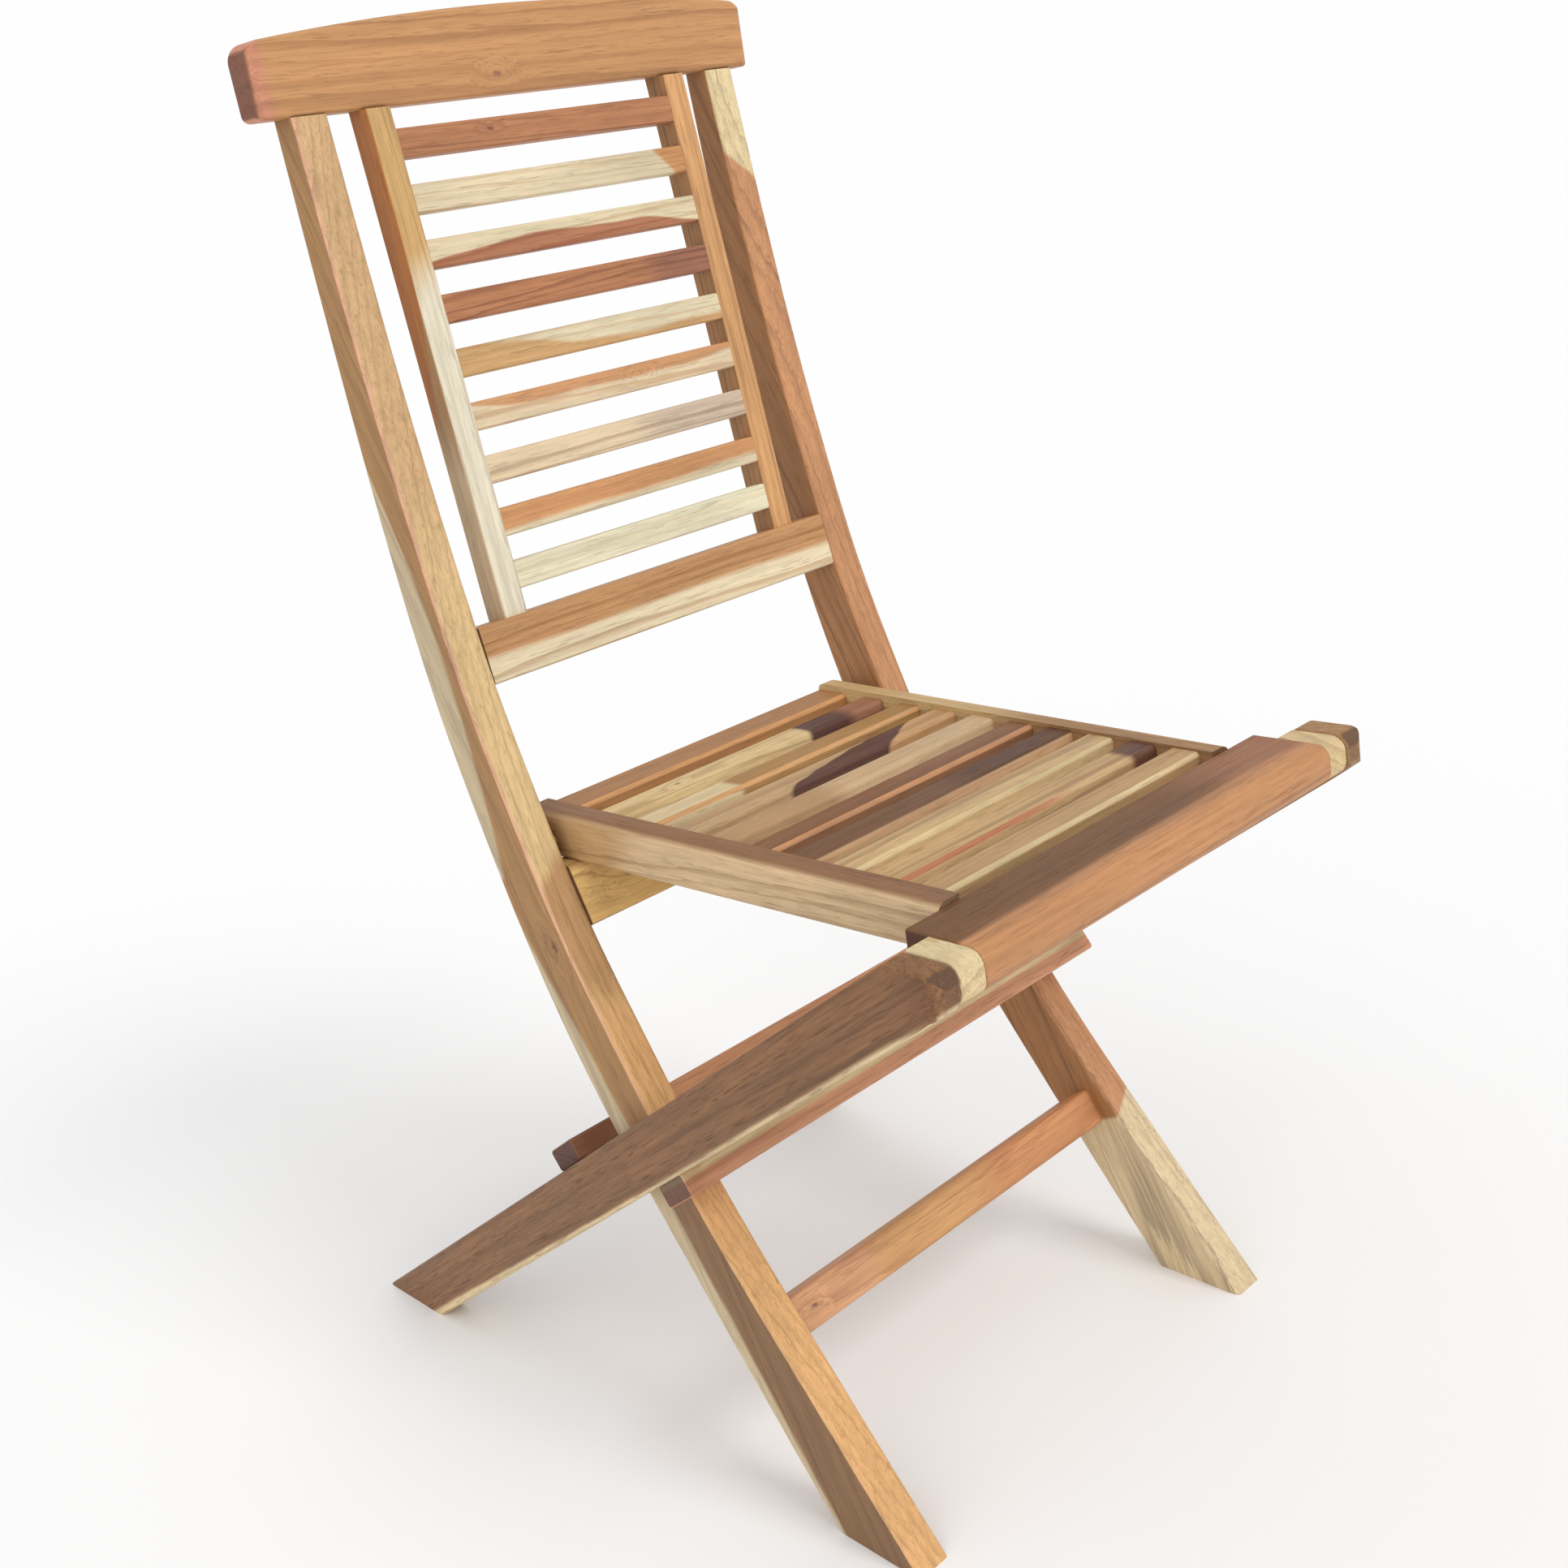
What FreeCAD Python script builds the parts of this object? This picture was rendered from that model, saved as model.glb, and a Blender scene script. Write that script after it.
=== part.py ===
import FreeCAD, Part
import math
import os

# Slatted hardwood folding chair, built open for sitting.
# Millimetres. +Z is up, the sitter faces -Y, and X = 0 is the plane of symmetry.
# Side outlines are written as (y, z) pairs with y counted from near the toe of the front feet;
# ORIGIN_Y moves them so that the origin lies on the floor under the middle of the chair.

ORIGIN_Y = 219.0

# Back frame
UPRIGHT_IN = 152.5
UPRIGHT_OUT = 177.5
UPRIGHT_TOP = 856.5
CREST_HALF = 197.5
CREST_THICK = 24.0
CREST_FRONT = 351.0
CREST_END_TOP = 900.5
CREST_MID_TOP = 911.5
STILE_IN = 110.5
STILE_OUT = 128.5
STILE_DEPTH = 21.5
STILE_LEAN = 0.1384
SLAT_COUNT = 9
SLAT_TALL = 18.0
SLAT_THICK = 11.0
SLAT_PITCH = 33.8
SLAT_TOP_Z = 843.3
SLAT_TENON = 7.0

# Seat
SLAT_SURFACE = 414.5
SEAT_RAIL_IN = 127.0
SEAT_RAIL_OUT = 145.0
SEAT_RAIL_SPLAY = 1.88
SEAT_RAIL_LOW = 389.0
SEAT_SLAT_THICK = 11.0
SEAT_SLAT_HOUSING = 6.0
SEAT_SLAT_WIDTH = 20.0
SEAT_SLAT_FRONTS = (272, 233.5, 197.5, 163, 129, 95, 62, 29, -4, -36)
SEAT_END = 301.0
FRONT_RAIL_HALF = 159.5
FRONT_RAIL_REAR = -45.0
SEAT_NOSE = -98.0
SPACER_OUT = 177.5

# Rear legs and their two crossbars
LEG_IN = 178.3
LEG_OUT = 198.0
FRONT_BAR_HALF = 195.0
REAR_BAR_HALF = 187.0
BAR_WIDE = 30.0
BAR_THICK = 15.5
LEG_RUN = (0.8235, -0.5673)
LEG_SQUARE = (0.5673, 0.8235)

# Pivots, as (y, z) in the side view
SEAT_PIVOT = (276.0, 398.0)
LEG_PIVOT = (-78.0, 399.5)
BOLT_R = 4.0
BORE_R = 4.05
HEAD_R = 5.2
SPACER_R = 8.0
GAP = 0.3

# Front and rear lines of the upright, from below the floor to above the crest's underside
UPRIGHT_FRONT = ((-58, -65), (-4, 0), (84, 111), (149, 198), (202, 288), (233.5, 347), (268, 434))
UPRIGHT_FRONT += ((290.5, 504), (306, 570), (326, 675), (338, 755), (351, 855), (358, 915))
UPRIGHT_REAR = ((12, -65), (62, 0), (127, 90), (179, 164), (234, 250), (282, 352), (304, 415))
UPRIGHT_REAR += ((323, 478), (337, 541), (348, 609), (358, 691), (368, 790), (379, 915))

os.makedirs("parts", exist_ok=True)


def at(x, y, z):
    return FreeCAD.Vector(x, y - ORIGIN_Y, z)


def spline(points, x):
    curve = Part.BSplineCurve()
    curve.interpolate([at(x, y, z) for y, z in points])
    return curve.toShape()


def straight(points, x):
    corners = [at(x, y, z) for y, z in points]
    return [Part.makeLine(a, b) for a, b in zip(corners, corners[1:])]


def prism(edges, length):
    face = Part.Face(Part.Wire(Part.__sortEdges__(edges)))
    return face.extrude(FreeCAD.Vector(length, 0, 0))


def bar(points, x0, x1):
    """A straight timber along X with the given (y, z) section."""
    return prism(straight(list(points) + [points[0]], x0), x1 - x0)


def block(x0, x1, y0, y1, z0, z1):
    return Part.makeBox(x1 - x0, y1 - y0, z1 - z0, at(x0, y0, z0))


def pin(x0, x1, y, z, radius):
    return Part.makeCylinder(radius, x1 - x0, at(x0, y, z), FreeCAD.Vector(1, 0, 0))


def mirrored(shape):
    return shape.mirror(FreeCAD.Vector(0, 0, 0), FreeCAD.Vector(1, 0, 0))


def single(shape):
    """The one solid inside a boolean result."""
    return max(shape.Solids, key=lambda solid: solid.Volume)


def soften(shape, radius, wanted):
    """Round the edges that the test picks."""
    edges = [edge for edge in shape.Edges if wanted(edge)]
    return shape.makeFillet(radius, edges)


def along_x(edge):
    box = edge.BoundBox
    return box.XLength > 20 and box.YLength < 0.5 and box.ZLength < 0.5


def across_end(edge):
    """True for the edges round the end faces of a bar that lies along X."""
    return edge.BoundBox.XLength < 0.5


def softened_bar(points, x0, x1, long_radius, end_radius):
    shape = bar(points, x0, x1)
    shape = soften(shape, long_radius, along_x)
    if end_radius:
        shape = soften(shape, end_radius, across_end)
    return shape


def sawn_board(front, rear, x0, x1, radius):
    """A board sawn to a curved front line and a curved rear line, with rounded arrises."""
    edges = [spline(front, x0), spline(rear, x0)]
    edges += straight((front[0], rear[0]), x0)
    edges += straight((front[-1], rear[-1]), x0)
    shape = prism(edges, x1 - x0)
    return soften(shape, radius, lambda edge: edge.BoundBox.ZLength > 100)


def stile_front(z):
    """y on the front face of the back stiles at height z."""
    return 303.5 + (z - 539.0) * STILE_LEAN


# ---------------------------------------------------------------- back frame

def upright():
    timber = sawn_board(UPRIGHT_FRONT, UPRIGHT_REAR, UPRIGHT_IN, UPRIGHT_OUT, 3.0)
    post = single(timber.common(block(140, 190, -90, 450, 0, UPRIGHT_TOP)))
    tenon = timber.common(block(UPRIGHT_IN + 6, UPRIGHT_OUT - 6, 356, 369, UPRIGHT_TOP - 1, UPRIGHT_TOP + 22))
    return single(post.fuse(single(tenon)))


def crest_rail():
    """Board with a gently arched top; its front corners are rounded over in plan as well."""
    y0 = CREST_FRONT
    y1 = y0 + CREST_THICK
    section = ((y0, UPRIGHT_TOP), (y0 + 4.5, 916), (y1 + 4.5, 916), (y1, UPRIGHT_TOP))
    board = bar(section, -CREST_HALF, CREST_HALF)
    low_left = at(-CREST_HALF, 300, UPRIGHT_TOP)
    low_right = at(CREST_HALF, 300, UPRIGHT_TOP)
    high_left = at(-CREST_HALF, 300, CREST_END_TOP)
    high_right = at(CREST_HALF, 300, CREST_END_TOP)
    crown = Part.Arc(high_left, at(0, 300, CREST_MID_TOP), high_right).toShape()
    outline = [Part.makeLine(low_left, low_right), Part.makeLine(low_right, high_right), crown]
    outline.append(Part.makeLine(high_left, low_left))
    face = Part.Face(Part.Wire(Part.__sortEdges__(outline)))
    elevation = single(face.extrude(FreeCAD.Vector(0, 120, 0)))
    elevation = soften(elevation, 12, lambda e: abs(e.BoundBox.YLength - 120) < 0.5 and e.BoundBox.ZMin > 890)
    elevation = soften(elevation, 5, lambda e: abs(e.BoundBox.YLength - 120) < 0.5 and e.BoundBox.ZMax < 860)
    front = y0 + 2 - ORIGIN_Y
    plan = block(-CREST_HALF, CREST_HALF, y0 + 1, y1 + 20, UPRIGHT_TOP - 5, 920)
    plan = soften(plan, 9, lambda e: e.BoundBox.ZLength > 50 and e.BoundBox.YMax < front)
    shape = single(single(board.common(elevation)).common(plan))
    return soften(shape, 2.5, lambda e: e.BoundBox.XLength > 100)


def lower_back_rail():
    section = ((292, 504.5), (299.3, 541), (322.9, 536.5), (315.6, 500))
    rail = softened_bar(section, -UPRIGHT_IN, UPRIGHT_IN, 2.0, 0)
    tenons = block(-UPRIGHT_IN - 15, UPRIGHT_IN + 15, 299, 311, 508, 528)
    return single(rail.fuse(tenons))


def stile():
    low = 515.0
    high = 875.0
    section = ((stile_front(low), low), (stile_front(high), high))
    section += ((stile_front(high) + STILE_DEPTH, high), (stile_front(low) + STILE_DEPTH, low))
    timber = bar(section, STILE_IN, STILE_OUT)
    timber = soften(timber, 2.0, lambda edge: edge.BoundBox.ZLength > 100)
    body = single(timber.common(block(60, 150, 250, 420, 500, UPRIGHT_TOP)))
    tongue = timber.common(block(STILE_IN + 4, STILE_OUT - 4, 356, 366, UPRIGHT_TOP - 1, UPRIGHT_TOP + 9))
    return single(body.fuse(single(tongue)))


def back_slat(k):
    middle = SLAT_TOP_Z - SLAT_PITCH * k - SLAT_TALL / 2
    reach = STILE_IN + SLAT_TENON
    y0 = stile_front(middle) + 0.8
    half = SLAT_TALL / 2
    section = ((y0, middle - half), (y0, middle + half))
    section += ((y0 + SLAT_THICK, middle + half), (y0 + SLAT_THICK, middle - half))
    slat = softened_bar(section, -reach, reach, 1.6, 0)
    slat.rotate(at(0, y0, middle), FreeCAD.Vector(1, 0, 0), -math.degrees(math.atan(STILE_LEAN)))
    return slat


def seat_support_rail():
    section = ((235.5, 352.5), (250.6, SEAT_RAIL_LOW - GAP), (272.1, SEAT_RAIL_LOW - GAP), (253.7, 344.8))
    rail = softened_bar(section, -UPRIGHT_IN, UPRIGHT_IN, 2.0, 0)
    tenons = block(-UPRIGHT_IN - 14, UPRIGHT_IN + 14, 249, 258, 358, 377)
    return single(rail.fuse(tenons))


def front_stretcher():
    section = ((98.5, 104.5), (110.8, 126.9), (126.6, 118.2), (114.3, 95.8))
    rail = softened_bar(section, -UPRIGHT_IN, UPRIGHT_IN, 3.0, 0)
    tenons = block(-UPRIGHT_IN - 14, UPRIGHT_IN + 14, 107, 118, 105, 117)
    return single(rail.fuse(tenons))


def seat_pivot_bolts():
    """Bolts fast in the uprights; their low heads lie inside the seat's side rails."""
    y, z = SEAT_PIVOT
    inner = SEAT_RAIL_IN - 1.2
    shank = pin(inner, UPRIGHT_OUT - 7, y, z, BOLT_R)
    head = pin(inner - 3.5, inner, y, z, HEAD_R)
    bolt = single(shank.fuse(head))
    return [bolt, mirrored(bolt)]


def seat_pivot_spacers():
    y, z = SEAT_PIVOT
    sleeve = pin(SEAT_RAIL_OUT + GAP, UPRIGHT_IN, y, z, SPACER_R).cut(pin(130, 160, y, z, BOLT_R))
    return [single(sleeve), mirrored(single(sleeve))]


# ---------------------------------------------------------------- seat

def rail_inner(y):
    """x of a side rail's inner face: the rails draw together towards the front."""
    return SEAT_RAIL_IN - (290.0 - y) * math.tan(math.radians(SEAT_RAIL_SPLAY))


def seat_side_rail():
    y, z = SEAT_PIVOT
    low = SEAT_RAIL_LOW
    front = FRONT_RAIL_REAR - 6
    section = ((front, low - 1), (y, low), (y + 10, low + 2), (SEAT_END - 4, low + 8))
    section += ((SEAT_END, low + 13), (SEAT_END, 419.0), (front, 415.5))
    rail = bar(section, SEAT_RAIL_IN, SEAT_RAIL_OUT)
    rail = soften(rail, 5, lambda e: e.BoundBox.XLength > 5 and e.BoundBox.ZMin > 418)
    edge_x = SEAT_RAIL_OUT - 0.5
    rail = soften(rail, 8, lambda e: e.BoundBox.YLength > 200 and e.BoundBox.ZMin > 413 and e.BoundBox.XMin > edge_x)
    rail = soften(rail, 2, lambda e: e.BoundBox.YLength > 200 and e.BoundBox.ZMax < 390 and e.BoundBox.XMin > edge_x)
    rail.rotate(at(SEAT_RAIL_IN, 290, 400), FreeCAD.Vector(0, 0, 1), -SEAT_RAIL_SPLAY)
    rail = single(rail.common(block(90, 160, FRONT_RAIL_REAR, 320, 370, 430)))
    tenon = block(119, 130, FRONT_RAIL_REAR - 14, FRONT_RAIL_REAR + 1, low + 4, low + 16)
    return single(rail.fuse(tenon))


def seat_slat(k):
    front = SEAT_SLAT_FRONTS[k]
    width = SEAT_SLAT_WIDTH
    if k == 0:
        width = SEAT_END - 1 - front
    reach = rail_inner(front) + SEAT_SLAT_HOUSING
    top = SLAT_SURFACE
    low = top - SEAT_SLAT_THICK
    section = ((front, low), (front, top), (front + width, top), (front + width, low))
    slat = bar(section, -reach, reach)
    slat = soften(slat, 3.5, lambda e: along_x(e) and e.BoundBox.ZMin > top - 0.5
                  and e.BoundBox.YMax < front - ORIGIN_Y + 0.5)
    return soften(slat, 1.2, lambda e: along_x(e) and e.BoundBox.YMin > front - ORIGIN_Y + 10)


def seat_front_rail():
    section = ((FRONT_RAIL_REAR, 388), (FRONT_RAIL_REAR, 413), (SEAT_NOSE, 413), (SEAT_NOSE, 388))
    rail = bar(section, -FRONT_RAIL_HALF, FRONT_RAIL_HALF)
    nose = SEAT_NOSE - ORIGIN_Y
    rail = soften(rail, 10, lambda e: along_x(e) and e.BoundBox.YMax < nose + 0.5)
    rail = soften(rail, 2.0, lambda e: along_x(e) and e.BoundBox.YMin > nose + 45)
    return soften(rail, 1.8, across_end)


def seat_spacer():
    nose_y = SEAT_NOSE + 0.8
    section = ((-62, 388), (-62, 412.3), (nose_y, 412.3), (nose_y, 388))
    piece = bar(section, FRONT_RAIL_HALF, SPACER_OUT)
    nose = nose_y - ORIGIN_Y
    piece = soften(piece, 9, lambda e: e.BoundBox.XLength > 10 and e.BoundBox.YMax < nose + 0.5)
    return soften(piece, 1.2, lambda e: e.BoundBox.XMin > SPACER_OUT - 0.5)


def leg_pivot_bolts():
    """Bolts fast in the seat's front rail; the rear legs turn on their outer ends."""
    y, z = LEG_PIVOT
    bolt = pin(FRONT_RAIL_HALF - 35, LEG_OUT - 6.5, y, z, BOLT_R)
    return [bolt, mirrored(bolt)]


# ---------------------------------------------------------------- rear legs

def rear_leg():
    nose = SEAT_NOSE
    heel = (490, -18.3)
    toe = (-84, 381.5)
    x = LEG_IN
    corners = (heel, toe, (nose, 392), (nose, 412.5), (-63, 412.5), (565, -20), heel)
    board = prism(straight(corners, x), LEG_OUT - LEG_IN)
    board = single(board.common(block(170, 210, -120, 600, 0, 430)))
    front = nose - ORIGIN_Y + 0.5
    board = soften(board, 9, lambda e: e.BoundBox.XLength > 10 and e.BoundBox.YMax < front and e.BoundBox.ZMin > 400)
    board = soften(board, 6, lambda e: e.BoundBox.XLength > 10 and e.BoundBox.YMax < front and e.BoundBox.ZMax < 395)
    board = soften(board, 6, lambda e: e.BoundBox.XLength > 10 and e.BoundBox.YMax > front + 20
                   and e.BoundBox.ZMin > 400)
    board = soften(board, 2.5, lambda e: e.BoundBox.XLength < 0.5 and e.BoundBox.ZMax > 5)
    plan = block(LEG_IN, LEG_OUT, nose, 600, 0, 430)
    board = single(board.common(soften(plan, 9, lambda e: e.BoundBox.XMin > LEG_OUT - 0.5 and e.BoundBox.YMax < front)))
    y, z = LEG_PIVOT
    return single(board.cut(pin(LEG_IN - 5, LEG_OUT - 6, y, z, BORE_R)))


def along_leg(start, run, out):
    """The side-view point a given run towards the foot and a given height off the leg's upper edge."""
    y = start[0] + run * LEG_RUN[0] + out * LEG_SQUARE[0]
    z = start[1] + run * LEG_RUN[1] + out * LEG_SQUARE[1]
    return (y, z)


FRONT_BAR_AT = (158.6, 213.6)
REAR_BAR_AT = (249.9, 197.2)


def crossbar_front():
    """Bar under the legs; it bears on the front edges of the uprights when the chair is open."""
    near = FRONT_BAR_AT
    section = (near, along_leg(near, -BAR_WIDE, 0), along_leg(near, -BAR_WIDE, -BAR_THICK))
    section += (along_leg(near, 0, -BAR_THICK),)
    return softened_bar(section, -FRONT_BAR_HALF, FRONT_BAR_HALF, 2.5, 1.5)


def crossbar_rear():
    """Bar over the legs, behind the uprights."""
    near = REAR_BAR_AT
    section = (near, along_leg(near, 0, BAR_THICK), along_leg(near, BAR_WIDE, BAR_THICK))
    section += (along_leg(near, BAR_WIDE, 0),)
    return softened_bar(section, -REAR_BAR_HALF, REAR_BAR_HALF, 2.5, 1.5)


def crossbar_dowels():
    """Hidden dowels that hold the two crossbars on the legs' edges."""
    dowels = []
    for middle in (along_leg(FRONT_BAR_AT, -15, 0), along_leg(REAR_BAR_AT, 15, 0)):
        y, z = along_leg(middle, 0, -11)
        dowel = Part.makeCylinder(3.0, 22, at(183, y, z), FreeCAD.Vector(0, LEG_SQUARE[0], LEG_SQUARE[1]))
        dowels += [dowel, mirrored(dowel)]
    return dowels


# ---------------------------------------------------------------- joinery and output

def group(shapes):
    return shapes[0] if len(shapes) == 1 else Part.makeCompound(shapes)


def save(name, shape):
    shape.exportStep("parts/" + name + ".step")


def cut_all(shape, tools):
    for tool in tools:
        shape = shape.cut(tool)
    return single(shape)


def build_back_frame():
    post_right = upright()
    crest = crest_rail()
    low_rail = lower_back_rail()
    stile_right = cut_all(stile(), [low_rail])
    slats = [back_slat(k) for k in range(SLAT_COUNT)]
    support = seat_support_rail()
    stretcher = front_stretcher()
    bolts = seat_pivot_bolts()
    spacers = seat_pivot_spacers()
    post_right = cut_all(post_right, [low_rail, support, stretcher, bolts[0]])
    stile_right = cut_all(stile_right, slats)
    post_left = mirrored(post_right)
    stile_left = mirrored(stile_right)
    crest = cut_all(crest, [post_right, post_left, stile_right, stile_left])
    save("upright_right", post_right)
    save("upright_left", post_left)
    save("crest_rail", crest)
    save("lower_back_rail", low_rail)
    save("back_stile_right", stile_right)
    save("back_stile_left", stile_left)
    for k, slat in enumerate(slats):
        save("back_slat_" + str(k + 1), slat)
    save("seat_support_rail", support)
    save("front_stretcher", stretcher)
    save("seat_pivot_bolts", group(bolts))
    save("seat_pivot_spacers", group(spacers))


def build_seat():
    y, z = SEAT_PIVOT
    slats = [seat_slat(k) for k in range(len(SEAT_SLAT_FRONTS))]
    bolts = leg_pivot_bolts()
    rail_right = seat_side_rail()
    rail_right = cut_all(rail_right, slats + [pin(120, 145, y, z, BORE_R)])
    rail_left = mirrored(rail_right)
    front = cut_all(seat_front_rail(), [rail_right, rail_left] + bolts)
    spacer_right = cut_all(seat_spacer(), [bolts[0]])
    save("seat_side_rail_right", rail_right)
    save("seat_side_rail_left", rail_left)
    for k, slat in enumerate(slats):
        save("seat_slat_" + str(k + 1), slat)
    save("seat_front_rail", front)
    save("seat_spacer_right", spacer_right)
    save("seat_spacer_left", mirrored(spacer_right))
    save("leg_pivot_bolts", group(bolts))


def build_rear_legs():
    dowels = crossbar_dowels()
    leg_right = rear_leg()
    front_bar = crossbar_front()
    rear_bar = crossbar_rear()
    leg_right = cut_all(leg_right, [front_bar, rear_bar] + dowels)
    save("rear_leg_right", leg_right)
    save("rear_leg_left", mirrored(leg_right))
    save("crossbar_front", cut_all(front_bar, dowels))
    save("crossbar_rear", cut_all(rear_bar, dowels))
    save("crossbar_dowels", group(dowels))


build_back_frame()
build_seat()
build_rear_legs()
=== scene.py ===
import math

import bpy
from mathutils import Matrix, Vector

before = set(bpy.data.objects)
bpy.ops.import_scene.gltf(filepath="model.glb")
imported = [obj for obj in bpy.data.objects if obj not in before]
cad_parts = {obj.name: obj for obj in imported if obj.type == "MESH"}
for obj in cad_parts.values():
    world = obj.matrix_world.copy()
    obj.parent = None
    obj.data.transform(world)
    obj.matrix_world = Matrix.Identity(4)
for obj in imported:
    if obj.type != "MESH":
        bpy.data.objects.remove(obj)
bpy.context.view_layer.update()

# Slatted teak folding chair. Every piece is its CAD node; what is made here is its timber.
# A piece's wood has a grain direction, rings that curve slowly along it, fine pores, colour zones
# where the board runs from heartwood into sapwood, knots, and darker end grain. Some zones are painted
# highlights on rounded arrises and painted shadows, not the wood's own colour.

ORIGIN_Y = 0.219  # metres from the side view's own y = 0 to the origin

# directions of the fibres, and ways that a face can look
X, LEFT, UP, DOWN = (1, 0, 0), (-1, 0, 0), (0, 0, 1), (0, 0, -1)
FORWARD = (0, -1, 0)
FRONT = (0, -1, 0.12)
POST = (0, 0.42, 0.91)
STILE = (0, 0.137, 0.99)
SIDE_RAIL = (0, 1, 0)
LEG_RUN = Vector((0.0, 0.8235, -0.5673))
LEG_OUT = Vector((0.0, 0.5673, 0.8235))

# stretches of the timber noises along the fibres, and their scales across them
FIGURE, RIPPLE, CLOUD = (0.13, 9.0), (0.035, 230.0), (0.20, 30.0)
THREAD, VESSEL = (0.028, 330.0), (0.055, 900.0)
SPECULAR = 0.32
BUMP_STRENGTH, BUMP_DEPTH = 0.55, 0.00035

# light
SKY_LIGHT = 0.74
BACKDROP_EXTRA = 0.253  # what the camera sees of the sky is this much brighter, to match the floor
PAPER_WHITE = 0.93

# camera: three-quarter view from the front, a little above, rolled
AZIMUTH, ELEVATION, ROLL = math.radians(40.59), math.radians(16.21), math.radians(8.96)
CAMERA_AT = (-0.765, -0.662 - ORIGIN_Y, 0.793)
FOCAL_MM, SENSOR_MM = 42.5, 36.0
SHIFT = (0.0212, -0.0512)


def side(y, z):
    """A point in the side view, given in the CAD's own millimetres."""
    return (0.0, y / 1000.0 - ORIGIN_Y, z / 1000.0)


def linear(code):
    """'#D2A06A' as linear red, green, blue, alpha."""
    rgb = []
    for k in (1, 3, 5):
        c = int(code[k:k + 2], 16) / 255.0
        rgb.append(c / 12.92 if c <= 0.04045 else ((c + 0.055) / 1.055) ** 2.4)
    return (rgb[0], rgb[1], rgb[2], 1.0)


class Graph:
    """Short names for the nodes a timber material is built from."""

    def __init__(self, tree):
        self.tree = tree

    def node(self, kind, **props):
        n = self.tree.nodes.new(kind)
        for key, value in props.items():
            setattr(n, key, value)
        return n

    def plug(self, socket, value):
        if isinstance(value, bpy.types.NodeSocket):
            self.tree.links.new(value, socket)
        else:
            socket.default_value = value

    def math(self, op, a, b=0.0):
        n = self.node("ShaderNodeMath", operation=op)
        self.plug(n.inputs[0], a)
        self.plug(n.inputs[1], b)
        return n.outputs[0]

    def vec(self, op, a, b=(0, 0, 0)):
        n = self.node("ShaderNodeVectorMath", operation=op)
        self.plug(n.inputs[0], a)
        self.plug(n.inputs[1], b)
        return n.outputs["Value"] if op in ("DOT_PRODUCT", "LENGTH", "DISTANCE") else n.outputs[0]

    def join(self, x, y, z):
        n = self.node("ShaderNodeCombineXYZ")
        for socket, value in zip(n.inputs, (x, y, z)):
            self.plug(socket, value)
        return n.outputs[0]

    def noise(self, vector, scale, detail=3.0, rough=0.5):
        n = self.node("ShaderNodeTexNoise")
        self.plug(n.inputs["Vector"], vector)
        self.plug(n.inputs["Scale"], scale)
        self.plug(n.inputs["Detail"], detail)
        self.plug(n.inputs["Roughness"], rough)
        return n.outputs["Fac"]

    def scale(self, fac, colour):
        """The colour, made lighter or darker by fac."""
        return self.mix(1.0, colour, self.join(fac, fac, fac), "MULTIPLY")

    def past(self, place, normal, point):
        """How far a place lies beyond the plane through point."""
        n = Vector(normal).normalized()
        return self.math("SUBTRACT", self.vec("DOT_PRODUCT", place, tuple(n)), n.dot(Vector(point)))

    def step(self, value, lo, hi, out_lo=0.0, out_hi=1.0):
        n = self.node("ShaderNodeMapRange", interpolation_type="SMOOTHSTEP")
        for socket, v in zip(n.inputs, (value, lo, hi, out_lo, out_hi)):
            self.plug(socket, v)
        return n.outputs[0]

    def mix(self, fac, a, b, kind="MIX"):
        n = self.node("ShaderNodeMix", data_type="RGBA", blend_type=kind)
        self.plug(n.inputs[0], fac)
        self.plug(n.inputs[6], a)
        self.plug(n.inputs[7], b)
        return n.outputs[2]


def zone(color, n=None, at=None, soft=0.003, wave=0.0, pace=6.0, bow=0.0, middle=0.0,
         facing=None, lo=0.5, hi=0.85, within=None):
    """Part of a board in another colour: beyond the plane through `at` with normal n, and on faces
    that look along `facing`, from not at all at cosine lo to fully at hi. The edge is `soft` metres
    wide each way, waves by `wave` metres, and bows away from `middle` along the fibres.
    within: a second plane (normal, point, softness) that the part also lies beyond."""
    return dict(color=color, n=n, at=at, soft=soft, wave=wave, pace=pace, bow=bow, middle=middle,
                facing=facing, lo=lo, hi=hi, within=within)


def knot(x, y, z, size, dark="#5A3324", pull=1.0):
    """A knot centred near a point of the side view at that x, in millimetres. It has a dark heart of
    that size, and pulls the fibres aside by `pull` times its usual reach."""
    px, py, pz = side(y, z)
    return dict(at=(x / 1000.0, py, pz), size=size / 1000.0, dark=dark, pull=pull)


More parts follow.
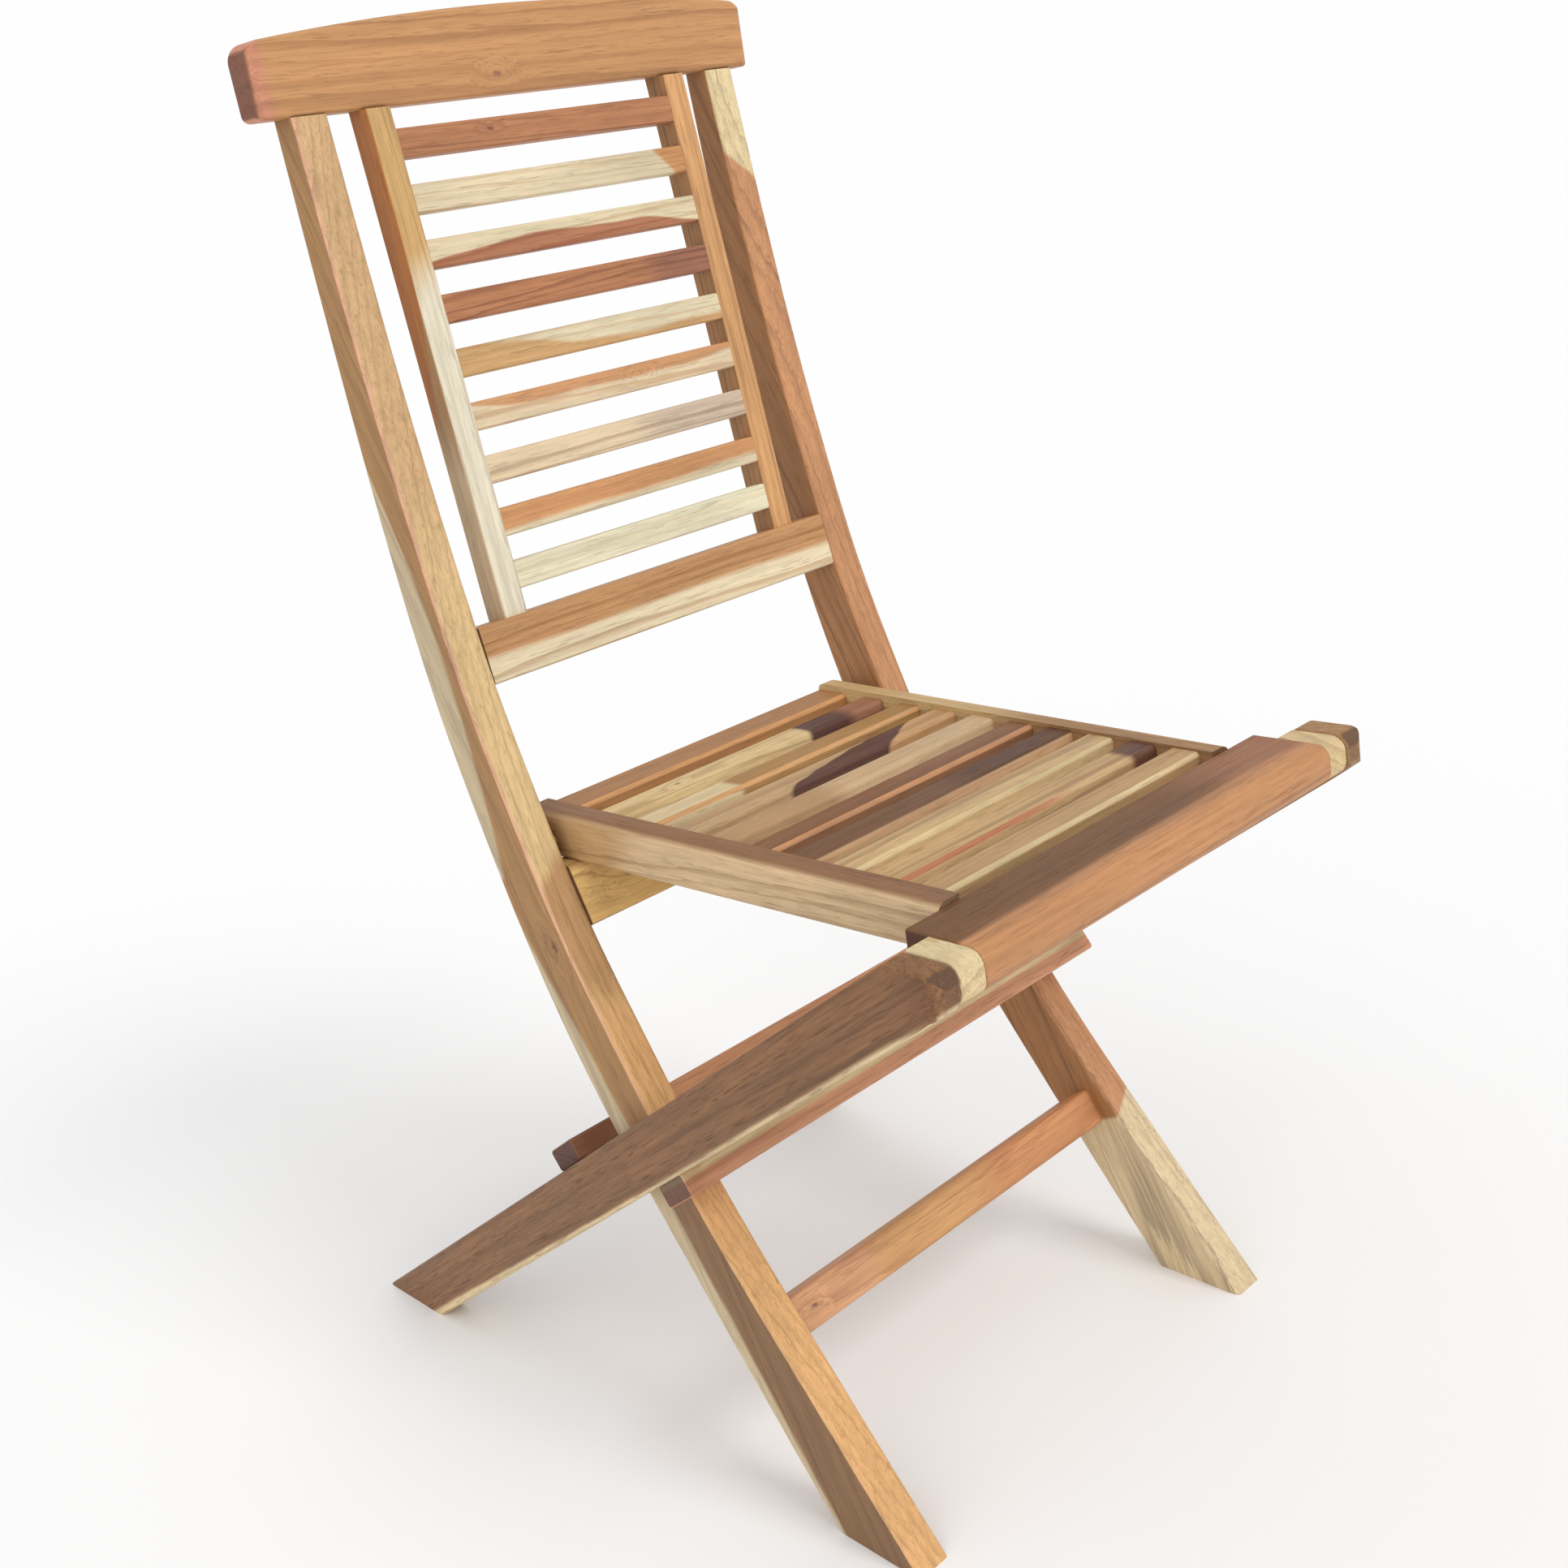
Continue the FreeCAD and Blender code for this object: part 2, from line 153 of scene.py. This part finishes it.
def teak(name, grain, base, line="#8A5B3A", seed=0.0, ring=0.007, wander=1.6, pith=(0.05, 0.11),
         lines=0.55, streak=0.38, zones=(), knots=(), end="#6B4A37", pores=0.45, rough=0.50, cloud=0.5):
    """One piece's timber.

    grain: direction of the fibres. base, line, end: colours of the board, of summer wood and of end
    grain. ring: spacing of the growth rings in metres. wander: how many rings the figure drifts.
    pith: how far the board lies from the middle of the tree, across the fibres. lines, streak, pores,
    cloud: how strong the rings, the fine streaks, the vessels and the broad patches are.
    """
    material = bpy.data.materials.new(name)
    material.use_nodes = True
    tree = material.node_tree
    tree.nodes.clear()
    g = Graph(tree)
    out = g.node("ShaderNodeOutputMaterial")
    shader = g.node("ShaderNodeBsdfPrincipled")
    tree.links.new(shader.outputs[0], out.inputs[0])
    coords = g.node("ShaderNodeTexCoord")
    place, normal = coords.outputs["Object"], coords.outputs["Normal"]

    along = Vector(grain).normalized()
    across = Vector((0, 0, 1)) if abs(along.z) < 0.5 else Vector((1, 0, 0))
    first = along.cross(across).normalized()
    second = along.cross(first).normalized()
    u = g.vec("DOT_PRODUCT", place, tuple(along))
    v = g.vec("DOT_PRODUCT", place, tuple(first))
    w = g.vec("DOT_PRODUCT", place, tuple(second))

    def fibred(stretch):
        """The place with its length along the fibres drawn in, so that a noise runs along them."""
        return g.join(g.math("MULTIPLY", u, stretch), v, w)

    # knots push the fibres aside and leave a dark heart
    hearts = []
    for k in knots:
        away = g.vec("SUBTRACT", place, k["at"])
        du = g.vec("DOT_PRODUCT", away, tuple(along * 0.55))
        dv = g.vec("DOT_PRODUCT", away, tuple(first))
        dw = g.vec("DOT_PRODUCT", away, tuple(second))
        far = g.vec("LENGTH", g.join(du, dv, dw))
        swell = g.step(far, 0.0, k["size"] * 4.0, k["pull"] * k["size"] * 1.6, 0.0)
        v = g.math("ADD", v, swell)
        w = g.math("SUBTRACT", w, g.math("MULTIPLY", swell, 0.6))
        ragged = g.math("ADD", far, g.math("MULTIPLY", g.noise(away, 420.0, 2.0), k["size"] * 0.9))
        hearts.append((g.step(ragged, k["size"] * 0.55, k["size"] * 1.35, 0.85, 0.0), k["dark"]))

    slow = g.join(g.math("ADD", g.math("MULTIPLY", u, FIGURE[0]), seed * 1.37), v, w)
    drift = g.noise(slow, FIGURE[1], 1.0)
    rise = g.math("MULTIPLY", g.math("SUBTRACT", drift, 0.5), wander * ring * 6.0)
    rv = g.math("ADD", g.math("ADD", v, pith[0]), rise)
    rw = g.math("ADD", g.math("ADD", w, pith[1]), g.math("MULTIPLY", rise, 0.7))
    radius = g.vec("LENGTH", g.join(0.0, rv, rw))
    ripple = g.math("MULTIPLY", g.noise(fibred(RIPPLE[0]), RIPPLE[1], 3.0), 0.9)
    turns = g.math("ADD", g.math("DIVIDE", radius, ring), g.math("ADD", ripple, seed))
    # ring widths differ from year to year
    uneven = g.node("ShaderNodeTexNoise", noise_dimensions="1D")
    g.plug(uneven.inputs["W"], g.math("MULTIPLY", turns, 0.37))
    g.plug(uneven.inputs["Scale"], 1.0)
    g.plug(uneven.inputs["Detail"], 1.0)
    phase = g.math("FRACT", g.math("ADD", turns, g.math("MULTIPLY", uneven.outputs["Fac"], 1.6)))
    late = g.math("MULTIPLY", g.step(phase, 0.35, 0.93), g.step(phase, 0.95, 1.0, 1.0, 0.0))
    late = g.math("POWER", late, 2.2)
    weight = g.step(uneven.outputs["Fac"], 0.30, 0.68, 0.25, 1.0)
    late = g.math("MULTIPLY", late, weight)

    # colour of the board
    colour = linear(base)
    for z in zones:
        mask = None
        if z["n"] is not None:
            depth = g.past(place, z["n"], z["at"])
            if z["wave"]:
                flat = g.join(u, g.math("MULTIPLY", v, 0.4), g.math("MULTIPLY", w, 0.4))
                sway = g.noise(flat, z["pace"], 2.0)
                sway = g.math("MULTIPLY", g.math("SUBTRACT", sway, 0.5), z["wave"] * 4.0)
                depth = g.math("ADD", depth, sway)
            if z["bow"]:
                off = g.math("SUBTRACT", u, z["middle"])
                sag = g.math("MULTIPLY", g.math("MULTIPLY", off, off), z["bow"])
                depth = g.math("SUBTRACT", depth, sag)
            mask = g.step(depth, -z["soft"], z["soft"])
        if z["facing"] is not None:
            looks = g.vec("DOT_PRODUCT", normal, tuple(Vector(z["facing"]).normalized()))
            face = g.step(looks, z["lo"], z["hi"])
            mask = face if mask is None else g.math("MULTIPLY", mask, face)
        if z["within"] is not None:
            n, point, soft = z["within"]
            mask = g.math("MULTIPLY", mask, g.step(g.past(place, n, point), -soft, soft))
        colour = g.mix(mask, colour, linear(z["color"]))

    patch = g.noise(fibred(CLOUD[0]), CLOUD[1], 3.0, 0.6)
    tone = g.step(patch, 0.32, 0.68, 1.0 - 0.16 * cloud, 1.0 + 0.14 * cloud)
    thread = g.noise(fibred(THREAD[0]), THREAD[1], 5.0, 0.72)
    tone = g.math("MULTIPLY", tone, g.step(thread, 0.33, 0.67, 1.0 - 0.30 * streak, 1.0 + 0.20 * streak))
    # summer wood darkens the board in its own hue, so pale sapwood keeps pale lines
    ratio = [min(1.0, a / b) for a, b in zip(linear(line), linear(base))]
    lined = g.mix(g.math("MULTIPLY", late, lines), (1, 1, 1, 1), tuple(ratio))
    colour = g.mix(1.0, colour, lined, "MULTIPLY")
    colour = g.scale(tone, colour)

    # vessels: short dark dashes along the fibres, denser in early wood
    dash = g.noise(fibred(VESSEL[0]), VESSEL[1], 2.0, 0.6)
    early = g.step(phase, 0.0, 0.6, 1.0, 0.45)
    dash = g.math("MULTIPLY", g.step(dash, 0.53, 0.66), early)
    pit = g.mix(1.0, colour, (0.42, 0.36, 0.32, 1), "MULTIPLY")
    colour = g.mix(g.math("MULTIPLY", dash, pores), colour, pit)

    for heart, dark in hearts:
        colour = g.mix(heart, colour, linear(dark))

    ends = g.math("ABSOLUTE", g.vec("DOT_PRODUCT", normal, tuple(along)))
    ends = g.step(ends, 0.72, 0.93)
    dots = g.step(g.noise(place, VESSEL[1], 2.0), 0.35, 0.65, 0.80, 1.12)
    cut = g.scale(dots, linear(end))
    cut = g.mix(g.math("MULTIPLY", late, 0.5), cut, g.mix(0.5, cut, linear("#2E1D18")))
    colour = g.mix(g.math("MULTIPLY", ends, 0.82), colour, cut)
    g.plug(shader.inputs["Base Color"], colour)

    shine = g.math("ADD", rough, g.math("MULTIPLY", dash, 0.12))
    shine = g.math("ADD", shine, g.math("MULTIPLY", g.math("SUBTRACT", patch, 0.5), 0.16))
    g.plug(shader.inputs["Roughness"], g.math("ADD", shine, g.math("MULTIPLY", ends, 0.12)))
    shader.inputs["Specular IOR Level"].default_value = SPECULAR

    height = g.math("SUBTRACT", g.math("MULTIPLY", thread, 0.45), g.math("MULTIPLY", dash, 0.6))
    height = g.math("SUBTRACT", height, g.math("MULTIPLY", late, 0.25))
    bump = g.node("ShaderNodeBump")
    bump.inputs["Strength"].default_value = BUMP_STRENGTH
    bump.inputs["Distance"].default_value = BUMP_DEPTH
    g.plug(bump.inputs["Height"], height)
    tree.links.new(bump.outputs[0], shader.inputs["Normal"])
    return material


def dress(node, material):
    """Gives every face of a CAD node the material."""
    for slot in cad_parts[node].material_slots:
        slot.material = material


def metal(name, color, rough):
    """Slightly stained metal, for the bolts and spacers."""
    material = bpy.data.materials.new(name)
    material.use_nodes = True
    tree = material.node_tree
    g = Graph(tree)
    shader = tree.nodes["Principled BSDF"]
    place = g.node("ShaderNodeTexCoord").outputs["Object"]
    stain = g.noise(place, 260.0, 4.0, 0.6)
    shade = g.step(stain, 0.3, 0.7, 0.78, 1.05)
    g.plug(shader.inputs["Base Color"], g.scale(shade, linear(color)))
    g.plug(shader.inputs["Roughness"], g.step(stain, 0.3, 0.7, rough + 0.15, rough))
    shader.inputs["Metallic"].default_value = 1.0
    return material


# which faces a zone covers: the front of a post or a stile, and a seat slat's rounded front arris, where the
# zone is a painted highlight
POST_FACE = dict(facing=FRONT, lo=0.35, hi=0.75)
STILE_FACE = dict(facing=FRONT, lo=0.3, hi=0.7)
ARRIS_HIGHLIGHT = dict(facing=(0, -1, 1), lo=0.80, hi=0.93)

# ---- back frame
dress("crest_rail", teak("crest", X, "#C69261", "#83512F", seed=3.1, ring=0.010, wander=1.5,
      pith=(0.02, 0.16), lines=0.5, streak=0.28, cloud=0.35,
      end="#6A4638", knots=[knot(-24, 352, 869, 3.5, "#8A5A50", 2.2)],
      # painted highlight on the rounded arris around the left end, in a pinkish tone
      zones=[zone("#C98A6C", n=LEFT, at=(-0.187, 0, 0), soft=0.004)]))
dress("upright_left", teak("upright_left", POST, "#AA7F4E", "#7A5434", seed=1.2, ring=0.006, wander=1.0,
      pith=(0.03, 0.10), lines=0.45,
      knots=[knot(-177, 246, 345, 4, "#5E3B27")],
      zones=[zone("#C9B592", n=(0, 1, -0.22), at=side(303.5, 502), soft=0.0025, wave=0.002, facing=LEFT,
                  bow=0.7, middle=0.495, within=(UP, side(0, 383), 0.003)),
             # painted shade: the side face darker below the front crossbar, down to the foot
             zone("#8A6746", n=DOWN, at=side(0, 205), soft=0.03, wave=0.02, facing=LEFT),
             zone("#C9B592", n=(0, 1, -0.64), at=side(164, 170), soft=0.0025, wave=0.003, facing=LEFT,
                  within=(DOWN, side(0, 372), 0.003)),
             zone("#CFA97B", **POST_FACE),
             zone("#D8B985", n=DOWN, at=side(0, 590), soft=0.08, wave=0.02, **POST_FACE),
             zone("#DCAA71", n=DOWN, at=side(0, 330), soft=0.05, **POST_FACE),
             # painted shadow of the seat and rear leg on the front face below the seat, softened to look
             # like a darker heartwood patch
             zone("#B98F62", n=UP, at=side(0, 318), soft=0.015, wave=0.006, **POST_FACE,
                  within=((0.5, 0, -0.86), (-0.165, 0, 0.392), 0.006)),
             # painted highlight along the rounded arris between the side and the front
             zone("#DDAA8C", facing=(-1, -1, 0.12), lo=0.90, hi=0.985)]))
dress("upright_right", teak("upright_right", POST, "#A9784C", "#5E3F2A", seed=4.4, ring=0.008,
      pith=(0.08, 0.06), lines=0.5, wander=1.8,
      zones=[zone("#C68F64", **POST_FACE),
             zone("#E0CB9D", n=(0.62, 0, 0.78), at=(0.165, 0, 0.79), soft=0.002, wave=0.004, **POST_FACE),
             zone("#D8C29A", n=(0.5, -0.35, -0.8), at=(0.165, -0.13, 0.118), soft=0.0015, wave=0.006)]))
dress("back_stile_left", teak("stile_left", STILE, "#B48D60", "#7A5434", seed=6.0, ring=0.006, wander=1.0,
      pith=(0.06, 0.05), lines=0.4,
      zones=[zone("#C9A26A", **STILE_FACE),
             zone("#B9783F", n=(0, 1.0, 0.1), at=side(334, 700), soft=0.002, wave=0.004, facing=LEFT),
             zone("#E1D8C0", n=(0.4, 0, -0.9), at=(-0.12, 0, 0.76), soft=0.02, wave=0.02, **STILE_FACE),
             zone("#D1BB98", n=DOWN, at=side(0, 655), soft=0.02, wave=0.03, facing=LEFT)]))
dress("back_stile_right", teak("stile_right", STILE, "#9F754C", "#5F4029", seed=7.3, ring=0.007,
      pith=(0.04, 0.08), zones=[zone("#D29E69", **STILE_FACE)]))

back_slats = [
    dict(base="#B67C56", line="#6E3E2B", knots=[knot(-42, 345, 836, 2.5, "#6B3A3C", 1.5)]),
    dict(base="#DBCAA8", line="#C09A68",
         zones=[zone("#CD945F", n=(0.75, 0, 0.66), at=(0.088, 0, 0.803), soft=0.002, wave=0.003)]),
    dict(base="#DFCEAA", line="#B98F60",
         zones=[zone("#B07655", n=DOWN, at=(0.0, 0, 0.7690), soft=0.0008, wave=0.0025, pace=11,
                     bow=0.75, middle=0.0)]),
    dict(base="#B67B54", line="#703E2B", zones=[zone("#9A6750", n=X, at=(0.06, 0, 0), soft=0.02)]),
    dict(base="#D9CBAA", line="#B98C5C",
         zones=[zone("#C69D6B", n=(-0.06, 0, -1), at=(0.0, 0, 0.6985), soft=0.002, wave=0.004, pace=9,
                     bow=-0.35, middle=0.02)]),
    dict(base="#E0CAA7", line="#B48355", knots=[knot(28, 320, 668, 3, "#A0563A", 1.8)],
         zones=[zone("#CA9567", n=UP, at=(0.0, 0, 0.6635), soft=0.0015, wave=0.004, pace=9,
                     bow=0.55, middle=0.0)]),
    dict(base="#DEC7A5", line="#A38361",
         zones=[zone("#D0BBA4", n=X, at=(0.02, 0, 0), soft=0.03, wave=0.03)]),
    dict(base="#C99262", line="#95552F",
         zones=[zone("#DECFAD", n=(0.03, 0, -1), at=(0.0, 0, 0.5935), soft=0.002, wave=0.004, pace=6)]),
    dict(base="#E3DBBC", line="#CDB284", knots=[knot(10, 310, 566, 1.2, "#8A6038", 0.8)]),
]
for k, spec in enumerate(back_slats):
    slat = "back_slat_%d" % (k + 1)
    pith = (0.02 + 0.013 * ((k * 5) % 7), 0.05 + 0.011 * ((k * 3) % 5))
    dress(slat, teak(slat, X, seed=2.3 * k + 0.7, ring=0.006 + 0.001 * (k % 3), pith=pith,
                     wander=1.6 + 0.25 * (k % 4), **spec))

dress("lower_back_rail", teak("lower_back_rail", X, "#E8D7B4", "#B08758", seed=9.2, ring=0.008,
      pith=(0.09, 0.05), zones=[zone("#C19060", n=UP, at=side(0, 521), soft=0.0022, wave=0.0012, pace=5)]))
dress("seat_support_rail", teak("seat_support_rail", X, "#D8B070", "#8C6035", seed=5.6, ring=0.008,
      wander=2.5, knots=[knot(-110, 245, 372, 6, "#8A5C34")]))
dress("front_stretcher", teak("front_stretcher", X, "#CD9061", "#8F5A3A", seed=8.8, ring=0.010, wander=2.4,
      zones=[zone("#D09D68", n=(-1, 0, 0.4), at=(0.03, 0, 0.115), soft=0.03, wave=0.02),
             zone("#D8A177", n=LEFT, at=(-0.085, 0, 0), soft=0.02, wave=0.02)],
      knots=[knot(-133, 104, 116, 3, "#5C3A3C")]))

# ---- seat
dress("seat_side_rail_left", teak("seat_side_left", SIDE_RAIL, "#D2B48C", "#9A7A52", seed=2.6, ring=0.009,
      zones=[zone("#C09A6C", n=(0, 1, 0.5), at=side(190, 405), soft=0.02, wave=0.03, facing=LEFT),
             zone("#8C6649", facing=UP, lo=0.6, hi=0.98)]))
dress("seat_side_rail_right", teak("seat_side_right", SIDE_RAIL, "#CCAD7A", "#8D6C48", seed=3.9, ring=0.009,
      zones=[zone("#A07A52", n=FORWARD, at=side(90, 0), soft=0.03, wave=0.03)]))

# each slat's arris zone is a painted highlight: the bright strip its rounded front arris catches from the
# light
seat_slats = [
    dict(base="#AD7B4C", line="#73502F", zones=[zone("#D29A64", **ARRIS_HIGHLIGHT)]),
    dict(base="#DABE8B", line="#A07B4E", knots=[knot(-62, 243, 414, 2.5, "#5E3B27")],
         zones=[zone("#5C3A30", n=X, at=(0.045, 0, 0), soft=0.004, wave=0.015, pace=14),
                zone("#9A6A50", n=X, at=(0.095, 0, 0), soft=0.01, wave=0.02, pace=14)]),
    dict(base="#A67E4C", line="#7A5534",
         zones=[zone("#D8C49A", n=LEFT, at=(-0.055, 0, 0), soft=0.004, wave=0.012),
                zone("#CF9E6A", **ARRIS_HIGHLIGHT)]),
    dict(base="#BD9E75", line="#8A5E3C",
         zones=[zone("#5E3F35", n=(0.35, -1, 0), at=(0.012, -0.048, 0), soft=0.001, wave=0.012, pace=12),
                zone("#C49A6C", n=(0.35, -1, 0), at=(0.012, -0.070, 0), soft=0.001, wave=0.012, pace=12)]),
    dict(base="#C9AB84", line="#B89A6C",
         zones=[zone("#B39068", n=LEFT, at=(-0.05, 0, 0), soft=0.02, wave=0.03)]),
    dict(base="#885D3E", line="#63432C", zones=[zone("#CC9468", **ARRIS_HIGHLIGHT)]),
    dict(base="#603F28", line="#4E3422",
         zones=[zone("#765339", n=LEFT, at=(0.0, 0, 0), soft=0.02, wave=0.03),
                # painted highlight: the slat's front arris and front face lighter than its dark top
                zone("#C39C74", facing=FORWARD, lo=0.55, hi=0.85)]),
    dict(base="#CBAB7C", line="#8C6A48", zones=[zone("#D6BE8F", **ARRIS_HIGHLIGHT)]),
    dict(base="#C09E6F", line="#8F6A46",
         zones=[zone("#D0AE80", **ARRIS_HIGHLIGHT),
                zone("#B87855", n=LEFT, at=(0.02, 0, 0), soft=0.03, **ARRIS_HIGHLIGHT),
                zone("#6B4634", n=X, at=(0.098, 0, 0), soft=0.004, wave=0.01)]),
    dict(base="#B99669", line="#96744C", zones=[zone("#D8C092", **ARRIS_HIGHLIGHT)]),
]
for k, spec in enumerate(seat_slats):
    slat = "seat_slat_%d" % (k + 1)
    pith = (0.03 + 0.012 * ((k * 3) % 5), 0.06 + 0.01 * ((k * 5) % 4))
    dress(slat, teak(slat, X, seed=1.9 * k + 0.3, ring=0.006 + 0.001 * (k % 2), pith=pith,
                     wander=1.4 + 0.3 * (k % 3), **spec))

dress("seat_front_rail", teak("seat_front_rail", X, "#775131", "#5B3D26", seed=6.6, ring=0.009, wander=1.3,
      pith=(0.05, 0.05), lines=0.62, end="#5E3C2E",
      zones=[zone("#96674A", n=X, at=(0.095, 0, 0), soft=0.04, wave=0.03),
             zone("#C28A5C", n=FORWARD, at=side(-80, 0), soft=0.003, wave=0.003, pace=6)]))
dress("seat_spacer_left", teak("seat_spacer_left", (0, 1, 0.3), "#DCC79B", "#B6905E", seed=1.7, ring=0.006,
      wander=1.0, end="#DFC598"))
dress("seat_spacer_right", teak("seat_spacer_right", (0, 1, 0.3), "#D6BC8E", "#9B7448", seed=2.8, ring=0.006,
      wander=1.0, end="#D8BC8C"))

# ---- rear legs
dress("rear_leg_left", teak("rear_leg_left", LEG_RUN, "#8A613F", "#5C422E", seed=5.1, ring=0.007,
      wander=0.6, pith=(0.01, 0.05), pores=0.8, lines=0.5, streak=0.75, end="#5C4232",
      zones=[zone("#D9C096", n=-LEG_OUT, at=side(163.5, 213.0), soft=0.0015, wave=0.0015),
             zone("#7A5236", n=FORWARD, at=side(-80, 0), soft=0.02, facing=LEFT)]))
dress("rear_leg_right", teak("rear_leg_right", LEG_RUN, "#A47C52", "#6E4E34", seed=6.9, ring=0.008,
      wander=1.2, pith=(0.05, 0.09), end="#5C4232"))
dress("crossbar_front", teak("crossbar_front", X, "#CB9370", "#94583A", seed=7.7, ring=0.008, end="#53392F",
      zones=[zone("#DBC294", n=LEG_OUT, at=side(158.6, 208.0), soft=0.0012, wave=0.0012)]))
dress("crossbar_rear", teak("crossbar_rear", X, "#E0A77F", "#94583A", seed=8.1, ring=0.008, end="#5B403A",
      zones=[zone("#8A5E45", n=LEFT, at=(-0.12, 0, 0), soft=0.02, wave=0.02)]))
dress("crossbar_dowels", teak("dowels", LEG_OUT, "#C9A878", "#9A7448", seed=0.4))

dress("seat_pivot_bolts", metal("bolt_steel", "#A8A9AA", 0.28))
dress("leg_pivot_bolts", metal("pin_steel", "#A0A1A2", 0.32))
dress("seat_pivot_spacers", metal("spacer_brass", "#B99B57", 0.35))

# ---- floor, light, world
bpy.ops.mesh.primitive_plane_add(size=60.0, location=(0, 0, 0))
floor = bpy.context.object
floor.name = "floor"
paper = bpy.data.materials.new("paper")
paper.use_nodes = True
surface = paper.node_tree.nodes["Principled BSDF"]
surface.inputs["Base Color"].default_value = (PAPER_WHITE, PAPER_WHITE, PAPER_WHITE, 1)
surface.inputs["Roughness"].default_value = 0.95
surface.inputs["Specular IOR Level"].default_value = 0.0
floor.data.materials.append(paper)


def sun(name, direction, strength, angle):
    """Soft light that travels along the direction, from a disc that spans the angle in degrees."""
    lamp = bpy.data.lights.new(name, "SUN")
    lamp.energy = strength
    lamp.angle = math.radians(angle)
    holder = bpy.data.objects.new(name, lamp)
    holder.rotation_euler = Vector(direction).to_track_quat("-Z", "Y").to_euler()
    bpy.context.scene.collection.objects.link(holder)


sun("key", (-0.12, 0.68, -0.72), 1.05, 26)
sun("fill", (0.80, 0.30, -0.50), 0.55, 60)

# the surroundings light the chair evenly and stand behind it as a paper-white backdrop
world = bpy.data.worlds.new("studio")
bpy.context.scene.world = world
world.use_nodes = True
air = Graph(world.node_tree)
sky = world.node_tree.nodes["Background"]
seen = air.node("ShaderNodeLightPath").outputs["Is Camera Ray"]
air.plug(sky.inputs["Color"], (1, 1, 1, 1))
air.plug(sky.inputs["Strength"], air.math("ADD", SKY_LIGHT, air.math("MULTIPLY", seen, BACKDROP_EXTRA)))
bpy.context.scene.view_settings.view_transform = "Standard"

# ---- camera
forward = Vector((math.sin(AZIMUTH) * math.cos(ELEVATION), math.cos(AZIMUTH) * math.cos(ELEVATION),
                  -math.sin(ELEVATION)))
level = Vector((math.cos(AZIMUTH), -math.sin(AZIMUTH), 0.0))
upward = level.cross(forward)
right = math.cos(ROLL) * level - math.sin(ROLL) * upward
up = right.cross(forward)
lens = bpy.data.cameras.new("camera")
lens.lens = FOCAL_MM
lens.sensor_width = SENSOR_MM
lens.shift_x, lens.shift_y = SHIFT
lens.clip_start = 0.02
eye = bpy.data.objects.new("camera", lens)
turn = Matrix((right, up, -forward)).transposed().to_4x4()
eye.matrix_world = Matrix.Translation(CAMERA_AT) @ turn
bpy.context.scene.collection.objects.link(eye)
bpy.context.scene.camera = eye
